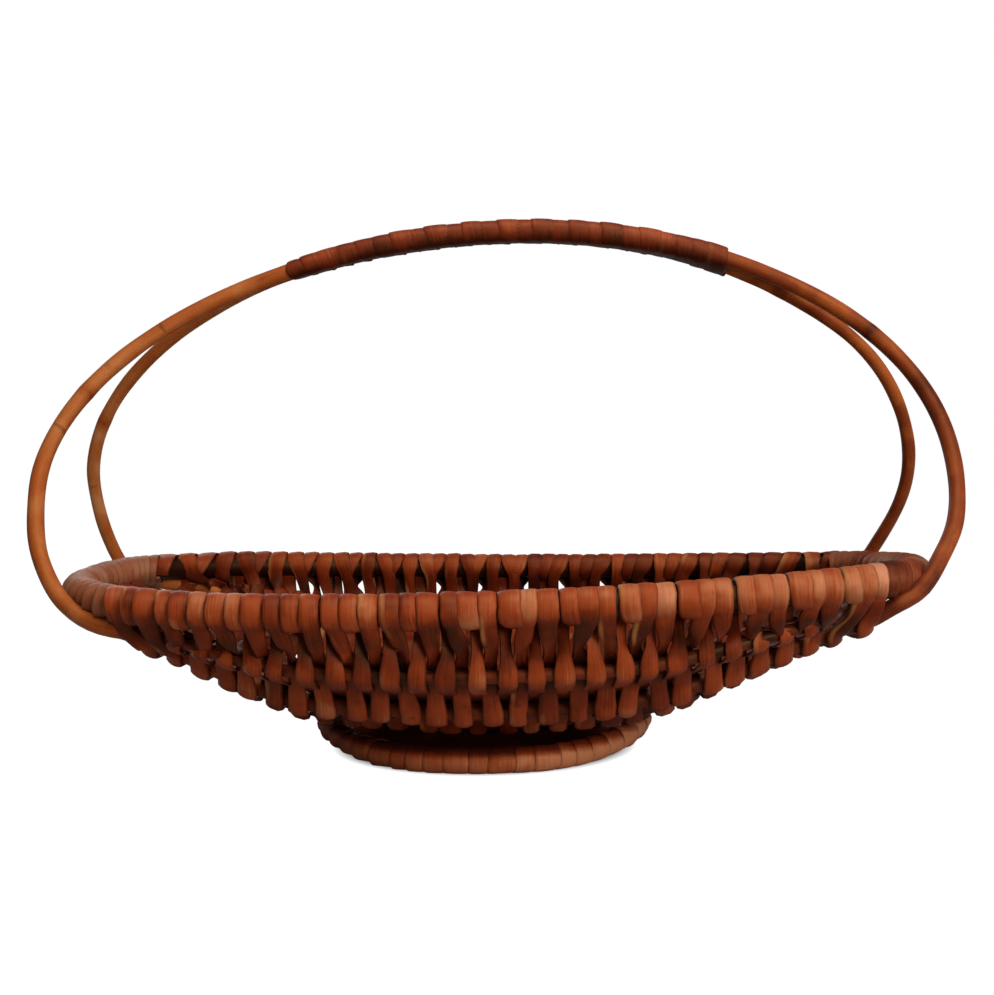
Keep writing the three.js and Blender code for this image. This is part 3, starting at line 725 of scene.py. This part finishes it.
def rim_loops(lane, side):
    # From the inside of one lane over the rim to the outside of the next. Every other loop goes round twice,
    # so three turns share the rim over four lanes, and at the front they lie close together.
    start, end = lane_x(lane), lane_x(lane + 1)
    if side > 0:
        start, end = fanned(start, side), fanned(end, side)
    shift = 0 if side < 0 else 1
    group = math.floor((lane + shift) / lanes_per_strip)
    origin = lane_x(group * lanes_per_strip - shift) - lane_width / 2
    second = (lane + shift) % lanes_per_strip >= 2
    closeness = 1.0
    if side < 0:
        closeness = 0.88 if origin > 0.02 else 0.94
    thirds = [origin + lane_width * lanes_per_strip * (0.5 + closeness * (i - 1) / 3) for i in range(3)]
    thirds = [fanned(x, side) for x in thirds]
    if origin < 0:
        turns = thirds[1:] if second else thirds[:1]
    else:
        turns = thirds[2:] if second else thirds[:2]
    stops = []
    for i, x in enumerate(turns):
        arriving = start if i == 0 else (turns[i - 1] + x) / 2
        stops.append((loop_start - 360 * i, arriving))
        stops.append((loop_inside - 360 * i, x))
        stops.append((loop_outside - 360 * i, x))
    along = 0.25 if side < 0 else 0.8
    last = loop_leaving - 360 * (len(turns) - 1)
    stops.append((last, turns[-1] + along * (end - turns[-1])))
    stop_degrees = [-stop[0] for stop in stops]
    stop_places = [stop[1] for stop in stops]
    keys = []
    degrees = loop_start
    lift = strip_chance.uniform(-0.0001, 0.0003)
    tilt = strip_chance.uniform(1, 6) * (1 if origin < 0 else -1)
    while degrees >= last - 1e-6:
        x = np.interp(-degrees, stop_degrees, stop_places)
        inside_below = max(math.cos(math.radians(degrees - 235)), 0.0) ** 2
        wide = width_on_rim * (1 - 0.25 * inside_below) * strip_chance.uniform(0.97, 1.03)
        if side > 0:
            wide *= 1 + 4.0 * max(abs(x) - 0.06, 0)
        else:
            # Handwork: no two turns of the front rim are equally wide
            loop = min(int((loop_start - degrees) // 360), len(turns) - 1)
            wide *= 1 + 0.13 * math.sin(510 * turns[loop])
        # Painted light and shade: the front loops grow paler towards the right and the back loops are darker;
        # painted shade on the inside below the rim and towards the tail under the band
        shade = 0.06 + 2.1 * max(x, 0) if side < 0 else -0.05
        shade -= 0.2 * inside_below
        shade -= 0.26 * np.clip((last + 55 - degrees) / 50, 0, 1)
        keys.append(rim_loop_key(x, side, degrees, rim_loop_radius + lift, wide, tilt, shade))
        degrees -= loop_step
    x = turns[-1] + (0.6 if side < 0 else 1.0) * (end - turns[-1])
    wide = 0.82 * width_on_rim
    if side > 0:
        # Here and there a narrow place leaves a small hole under the back rim
        narrow = -0.1 < x < 0.13 and strip_chance.random() < (0.85 if x < 0.065 else 0.45)
        wide = (0.44 if narrow else 1.1) * width_on_rim
        x += strip_chance.choice((-narrow_shift, narrow_shift)) if narrow else 0.0
    rim_y = side * half_depth_at(x)
    below = np.array([x, rim_y + side * 0.0014, rim_height + rise_at(x, rim_y) - 0.0092])
    up = unit(np.array([0.0, side, -0.4])) * -side
    # Painted shade on the tail under the rim band
    keys.append(key(below, up, wide, -0.32, -0.4 * side * strip_cup))
    return keys


def tucked_start(lane):
    # The end of a new strip, tucked in under the back rim
    x = lane_x(lane)
    narrow = -0.1 < x < 0.065 and strip_chance.random() < 0.5
    wide = (0.5 if narrow else 0.9) * width_on_rim
    spot = fanned(x, 1) + (strip_chance.choice((-narrow_shift, narrow_shift)) if narrow else 0.0)
    rim_y = half_depth_at(spot)
    facing = np.array([0.0, -1.0, 0.2])
    keys = []
    for inward, drop in ((0.0016, 0.0045), (0.0006, 0.0088)):
        place = np.array([spot, rim_y - inward, rim_height + rise_at(spot, rim_y) - drop])
        # Painted shade on the inside, under the back rim
        keys.append(key(place, unit(facing), wide, -0.3))
    return keys


def tucked_end(lane):
    # The end of an old strip, laid down over the start of the next one
    x = lane_x(lane + 1)
    angle = math.pi - angle_below_rim(x, min(crossing_depth + 0.0035, 0.85 * depth_at(x)))
    out = hull_outward(x, angle)
    # Painted shade under the back rim
    return [key(hull_point(x, angle) + out * 0.0014, -out, 0.6 * width_on_rim, -0.3)]


strip_colours = [
    (0.0, (0.030, 0.0030, 0.0010)),
    (0.3, (0.106, 0.0106, 0.0024)),
    (0.55, (0.214, 0.0300, 0.0060)),
    (0.8, (0.308, 0.0880, 0.0320)),
    (1.0, (0.400, 0.1500, 0.0750)),
]
strip_willow = varnished_willow("strip_willow", strip_colours, 11, 42, 0.5, 0.6, 0.6)
for strip in range(lane_count // lanes_per_strip):
    first = strip * lanes_per_strip
    keys = rim_loops(first - 1, 1) if strip == 0 else tucked_start(first)
    for lane in range(first, first + lanes_per_strip):
        if lane % 2 == 0:
            keys += lane_keys(lane)[::-1] + rim_loops(lane, -1)
        else:
            keys += lane_keys(lane) + rim_loops(lane, 1)
    if first + lanes_per_strip < lane_count:
        keys += tucked_end(first + lanes_per_strip - 1)
    seed = 100 + 7 * strip
    woven = lay_strip(f"woven_strip_{strip + 1:02d}", keys, strip_thickness, 0.0014, 0.48, 0.21, seed)
    finish_piece(woven, strip_willow, "willow_strip", f"weaving_strip_{strip + 1:02d}")

# Rim end bindings: the same strip wound close round the rim at the two blunt ends, where no weaving
# loops over it. The turns lie across the basket beside the weave and fan out to stand square to the rim
# at the very end.
rim_end_turns = 20
binding_thickness = 0.0011
binding_step = 0.0015
steps_in_turn = 20
half_turn = steps_in_turn // 2


def skew_at(length):
    centre, out, _ = rim_frame(length)
    return math.copysign(math.pi / 2, centre[1]) - math.atan2(out[1], abs(out[0]))


def turn_places(turns, seed, spread):
    # Where each turn lies, as a share of the binding's length, with the unevenness of handwork
    chance = random.Random(seed)
    widths = [chance.uniform(1 - spread, 1 + spread) for _ in range(turns)]
    edges = np.concatenate([[0.0], np.cumsum(widths)]) / sum(widths)
    return (edges[1:] + edges[:-1]) / 2, np.diff(edges)


binding_colours = [
    (0.0, (0.040, 0.0050, 0.0016)),
    (0.3, (0.120, 0.0140, 0.0036)),
    (0.55, (0.230, 0.0370, 0.0090)),
    (0.8, (0.330, 0.0840, 0.0300)),
    (1.0, (0.430, 0.1500, 0.0650)),
]
binding_willow = varnished_willow("binding_willow", binding_colours, 11, 42, 0.2, 0.5, 0.2)
rim_end_colours = [
    (0.0, (0.035, 0.0040, 0.0012)),
    (0.3, (0.120, 0.0180, 0.0050)),
    (0.5, (0.190, 0.0460, 0.0180)),
    (0.75, (0.225, 0.0800, 0.0380)),
    (1.0, (0.310, 0.1400, 0.0780)),
]
rim_end_willow = varnished_willow("rim_end_willow", rim_end_colours, 11, 42, 0.3, 0.4, 0)
round_length = rim_lengths[-1]
front_edge = weave_half_length + 0.0005
back_edge_right = 0.1450
back_edge_left = 0.1470
right_start = rim_length_where(0.75, 1, lambda point: point[0] >= front_edge) - round_length
right_end = rim_length_where(0, 0.25, lambda point: point[0] <= back_edge_right)
left_start = rim_length_where(0.25, 0.5, lambda point: point[0] <= -back_edge_left)
left_end = rim_length_where(0.5, 0.75, lambda point: point[0] >= -front_edge)
rim_end_shade = {"right": 0.20, "left": 0}
rim_ends = (("right", right_start, right_end, 1, 301), ("left", left_start, left_end, -1, 331))
for side, start, end, sense, seed in rim_ends:
    skew_start, skew_end = sense * skew_at(start), sense * skew_at(end)
    middles, shares = turn_places(rim_end_turns, seed, 0.28)
    chance = random.Random(seed + 1)
    lifts = [chance.uniform(-0.0001, 0.0003) for _ in range(rim_end_turns + 1)]
    keys = []
    for step in range(-half_turn, (rim_end_turns - 1) * steps_in_turn + half_turn + 1):
        at = step / steps_in_turn
        share = np.interp(at, range(rim_end_turns), middles)
        wide = np.interp(at, range(rim_end_turns), shares) * (end - start)
        centre, out, up = rim_frame(start + share * (end - start))
        skew = skew_start + (skew_end - skew_start) * share
        turn = 2 * math.pi * at + math.pi / 6
        level = turned(out, upright, math.degrees(skew))
        radius = rim_loop_radius + np.interp(at, range(rim_end_turns + 1), lifts)
        round_rim = up * math.cos(turn) - level * math.sin(turn)
        away = level * math.cos(turn) + up * math.sin(turn)
        place = centre + up * radius * math.sin(turn) + level * radius * math.cos(turn) / math.cos(skew)
        shade = 0.26 * np.clip((abs(centre[0]) - 0.138) / 0.014, 0, 1) - rim_end_shade[side]
        lapping = wide * math.cos(skew) + 0.0006
        keys.append(key(place, turned(away, round_rim, 4), lapping, shade, 0.0003))
    binding = lay_strip(f"rim_end_winding_{side}", keys, binding_thickness, binding_step, 0.43, 0.2, seed)
    finish_piece(binding, rim_end_willow, "binding_strip", f"rim_binding_{side}")

# Grip binding: one strip wound about 26 times round both handle rods at the top, each turn lapping
# over the last. It holds the two rods together, and its ends are tucked under the outer turns.
grip_length = 0.182
grip_shift = 0.006
grip_turns = 26
grip_front = 75 / 360
grip_strip_thickness = 0.0007
grip_cup = 0.0002
half_arch = 1.05
half_arch_steps = 600
arch_turns = np.linspace(math.pi / 2 + half_arch, math.pi / 2 - half_arch, 2 * half_arch_steps + 1)
arch_lengths = lengths_along(np.array([arch_point(turn) for turn in arch_turns]))
arch_lengths -= arch_lengths[half_arch_steps]


def settled_turn(at):
    # A wound strip stays at its place for most of a turn and steps on to the next near the end
    whole = math.floor(at)
    return whole + 4 * (at - whole - 0.5) ** 3


middles, shares = turn_places(grip_turns, 401, 0.16)
chance = random.Random(402)
lifts = [0.0005 if turn % 2 == 0 and 5 < turn < 21 else 0.0 for turn in range(grip_turns + 1)]
lifts = [lift + chance.uniform(-0.00005, 0.0001) + 0.00002 * turn for turn, lift in enumerate(lifts)]
keys = []
for step in range((grip_turns - 1) * steps_in_turn + 1):
    at = step / steps_in_turn
    settled = settled_turn(at - grip_front + 0.5) + grip_front
    share = np.interp(0.4 * at + 0.6 * settled, range(grip_turns), middles)
    wide = np.interp(at, range(grip_turns), shares) * grip_length
    length = -grip_shift + (share - 0.5) * grip_length
    turn = np.interp(length, arch_lengths, arch_turns)
    ahead = unit(arch_point(turn - 0.001) - arch_point(turn + 0.001))
    over = np.array([-ahead[2], 0.0, ahead[0]])
    spin = 2 * math.pi * at + math.pi / 3
    rod = handle_radii["front" if math.cos(spin) < 0 else "back"]
    radius = rod + 0.0001 + grip_strip_thickness / 2 + np.interp(at, range(grip_turns + 1), lifts)
    radius -= 0.0004 * max(1 - at / 1.2, 0.0)
    away = over * math.sin(spin) + sideways * math.cos(spin)
    front_rod = -handle_radii["front"] * sideways
    back_rod = handle_radii["back"] * sideways - drop_at(turn) * over
    towards_back = np.clip(3 * (away @ unit(back_rod - front_rod)), -1, 1) / 2 + 0.5
    beside = front_rod + (back_rod - front_rod) * towards_back
    round_rods = over * math.cos(spin) - sideways * math.sin(spin)
    tapered = (wide + 0.0016) * min(0.3 + min(at, grip_turns - 1 - at) / 0.45, 1.0)
    # Painted light and shade: lighter on top of the grip, darker on its underside
    shade = 0.08 * math.sin(spin) - 0.22 * max(-math.sin(spin + 0.3), 0.0)
    place = arch_point(turn) + beside + away * radius
    keys.append(key(place, turned(away, round_rods, -1.5), tapered, shade, grip_cup))
grip_willow = varnished_willow("grip_willow", binding_colours, 11, 42, 0.1, 0.5, 0.1)
grip = lay_strip("grip_winding", keys, grip_strip_thickness, binding_step, 0.31, 0.08, 411)
finish_piece(grip, grip_willow, "binding_strip", "grip_binding")

# Foot ring: a willow hoop bound all the way round with strip, in two lengths of half the ring each.
# The basket stands on it, and the lower side of the binding is worn flat on the table.
foot_radius = 0.063
foot_centre = np.array([-0.006, 0.0, 0.00435])
foot_core_radius = 0.0034
foot_turns = 23
foot_lift_left = 0.0078
foot_lift_right = 0.0076


def foot_slimness(turn):
    # The shoot is thinner at the sides of the ring, where it is tucked in under the weave
    return 1 - 0.32 * abs(math.cos(turn)) ** 3


def foot_point(turn):
    # The ring stands flat at the front and back and bends up at its sides, where it meets the hull
    lift = (foot_lift_left if math.cos(turn) < 0 else foot_lift_right) * abs(math.cos(turn)) ** 3.3
    lift -= foot_centre[2] * (1 - foot_slimness(turn))
    return foot_centre + np.array([foot_radius * math.cos(turn), foot_radius * math.sin(turn), lift])


foot_line = [foot_point(turn) for turn in np.linspace(0, 2 * math.pi, 121)]
foot_hoop = bend_rod("foot_hoop", np.array(foot_line), 0.6 * foot_core_radius, upright, True, 10, 0.1, 501)
finish_piece(foot_hoop, rod_willow, "willow_rod", "foot_core")
for side, begin, seed in (("back", 0.0, 511), ("front", math.pi, 531)):
    middles, shares = turn_places(foot_turns, seed, 0.32)
    chance = random.Random(seed + 1)
    lifts = [chance.uniform(-0.0001, 0.00015) for _ in range(foot_turns + 1)]
    places = [middles[0] - shares[0], *middles, middles[-1] + shares[-1]]
    keys = []
    for step in range(-half_turn, (foot_turns - 1) * steps_in_turn + half_turn + 1):
        at = step / steps_in_turn
        around = begin + math.pi * np.interp(settled_turn(at + 0.5), range(-1, foot_turns + 1), places)
        wide = math.pi * foot_radius * np.interp(at, range(foot_turns), shares)
        out = np.array([math.cos(around), math.sin(around), 0.0])
        spin = 2 * math.pi * at
        away = out * math.cos(spin) + upright * math.sin(spin)
        round_core = upright * math.cos(spin) - out * math.sin(spin)
        radius = foot_core_radius + strip_gap + binding_thickness / 2
        radius += np.interp(at, range(foot_turns + 1), lifts)
        place = foot_point(around) + away * radius * foot_slimness(around)
        place[2] = max(place[2], binding_thickness / 2 + 0.0001)
        # Painted light and shade: paler on the right, darker on top, where the hull shades the ring
        shade = 0.05 * math.cos(around) + 0.50 * max(math.cos(around), 0.0)
        shade -= 0.8 * np.clip((math.sin(spin) - 0.25) / 0.5, 0, 1) * abs(math.sin(around)) ** 0.7
        tilt = 2.5 + 1.5 * math.cos(around)
        keys.append(key(place, turned(away, round_core, tilt), wide + 0.0009, shade, 0.0002))
    binding = lay_strip(f"foot_winding_{side}", keys, binding_thickness, binding_step, 0.74, 0.1, seed)
    worn = np.zeros(3 * len(binding.data.vertices), np.float32)
    binding.data.vertices.foreach_get("co", worn)
    worn[2::3] = np.maximum(worn[2::3], 0)
    binding.data.vertices.foreach_set("co", worn)
    finish_piece(binding, binding_willow, "binding_strip", f"foot_binding_{side}")

# Stage: a pale floor that shows white to the camera and keeps a faint shadow, with a painted dark shadow
# inside the foot ring.
# The light is soft, from above and the right, and the camera stands a little over half a metre in front,
# at about half the height of the handle.
bpy.ops.object.select_all(action="DESELECT")
bpy.ops.mesh.primitive_plane_add(size=12, location=(0, 0, -0.0002))
floor = bpy.context.object
floor.name = "floor"


def seen_by_camera(nodes, link):
    # 1 for what the camera sees, 0 for the light that falls on the basket
    rays = nodes.new("ShaderNodeLightPath")
    seen = nodes.new("ShaderNodeMath")
    seen.operation = "MAXIMUM"
    link(rays.outputs["Is Camera Ray"], seen.inputs[0])
    link(rays.outputs["Is Transmission Ray"], seen.inputs[1])
    return seen.outputs[0]


floor_paint = bpy.data.materials.new("floor_paint")
floor_paint.use_nodes = True
nodes = floor_paint.node_tree.nodes
link = floor_paint.node_tree.links.new
nodes["Principled BSDF"].inputs["Roughness"].default_value = 0.9
nodes["Principled BSDF"].inputs["Specular IOR Level"].default_value = 0.0
white = nodes.new("ShaderNodeEmission")
white.inputs["Color"].default_value = (1, 1, 1, 1)
white.inputs["Strength"].default_value = 1.06
place = nodes.new("ShaderNodeTexCoord")
floor_stretch = 1.12
stretch = nodes.new("ShaderNodeVectorMath")
stretch.operation = "MULTIPLY"
link(place.outputs["Object"], stretch.inputs[0])
stretch.inputs[1].default_value = (floor_stretch, 1, 1)
from_foot = nodes.new("ShaderNodeVectorMath")
from_foot.operation = "DISTANCE"
link(stretch.outputs["Vector"], from_foot.inputs[0])
from_foot.inputs[1].default_value = (floor_stretch * foot_centre[0], 0, 0)
depth = nodes.new("ShaderNodeSeparateXYZ")
link(place.outputs["Object"], depth.inputs[0])
behind = nodes.new("ShaderNodeMapRange")
link(depth.outputs["Y"], behind.inputs["Value"])
behind.inputs["From Max"].default_value = 0.045
behind.inputs["To Max"].default_value = -0.016
wider_behind = nodes.new("ShaderNodeMath")
link(from_foot.outputs["Value"], wider_behind.inputs[0])
link(behind.outputs["Result"], wider_behind.inputs[1])
outside_painted_shadow = nodes.new("ShaderNodeMapRange")
link(wider_behind.outputs[0], outside_painted_shadow.inputs["Value"])
outside_painted_shadow.inputs["From Min"].default_value = foot_radius - 0.003
outside_painted_shadow.inputs["From Max"].default_value = foot_radius + 0.005
outside_painted_shadow.inputs["To Max"].default_value = 0.96
# Painted shadow: inside the foot ring, and a little past it behind, the floor is dark brown and shows no
# white to the camera
colour = nodes.new("ShaderNodeMix")
colour.data_type = "RGBA"
link(outside_painted_shadow.outputs["Result"], colour.inputs[0])
colour.inputs[6].default_value = (0.160, 0.034, 0.016, 1)
colour.inputs[7].default_value = (0.45, 0.43, 0.41, 1)
link(colour.outputs[2], nodes["Principled BSDF"].inputs["Base Color"])
share = nodes.new("ShaderNodeMath")
share.operation = "MULTIPLY"
link(seen_by_camera(nodes, link), share.inputs[0])
link(outside_painted_shadow.outputs["Result"], share.inputs[1])
mix = nodes.new("ShaderNodeMixShader")
link(share.outputs[0], mix.inputs[0])
link(nodes["Principled BSDF"].outputs[0], mix.inputs[1])
link(white.outputs[0], mix.inputs[2])
link(mix.outputs[0], nodes["Material Output"].inputs["Surface"])
floor.data.materials.append(floor_paint)

world = bpy.data.worlds.new("studio")
bpy.context.scene.world = world
world.use_nodes = True
nodes = world.node_tree.nodes
link = world.node_tree.links.new
brightness = nodes.new("ShaderNodeMapRange")
link(seen_by_camera(nodes, link), brightness.inputs["Value"])
brightness.inputs["To Min"].default_value = 0.14
brightness.inputs["To Max"].default_value = 1.0
link(brightness.outputs["Result"], nodes["Background"].inputs["Strength"])
nodes["Background"].inputs["Color"].default_value = (1, 1, 1, 1)


def soft_lamp(name, place, target, size, watts):
    lamp = bpy.data.lights.new(name, "AREA")
    lamp.shape = "DISK"
    lamp.size = size
    lamp.energy = watts
    holder = bpy.data.objects.new(name, lamp)
    bpy.context.scene.collection.objects.link(holder)
    holder.location = place
    holder.rotation_euler = (Vector(target) - Vector(place)).to_track_quat("-Z", "Y").to_euler()


soft_lamp("lamp_above", (0.15, -0.45, 1.15), (0, 0, 0.05), 0.9, 12)
soft_lamp("lamp_front", (0.65, -1.10, 0.50), (0, 0, 0.06), 0.7, 12)
soft_lamp("lamp_right", (1.1, -0.4, 0.45), (0, 0, 0.08), 0.5, 2)
soft_lamp("lamp_behind", (-0.5, 1.10, 0.60), (0, 0, 0.06), 0.7, 2.5)

sensor_width = 36
picture_width = 995
focal_length_in_dots = 1525
camera_pitch = math.radians(90 - 0.977)
camera_roll = math.radians(-0.6)
camera_data = bpy.data.cameras.new("camera")
camera_data.sensor_width = sensor_width
camera_data.lens = sensor_width * focal_length_in_dots / picture_width
camera = bpy.data.objects.new("camera", camera_data)
bpy.context.scene.collection.objects.link(camera)
camera.location = (0.0, -0.610, 0.1085)
look_down = Matrix.Rotation(camera_pitch, 3, "X")
camera.rotation_euler = (look_down @ Matrix.Rotation(camera_roll, 3, "Z")).to_euler()
bpy.context.scene.camera = camera
bpy.context.scene.view_settings.view_transform = "Standard"
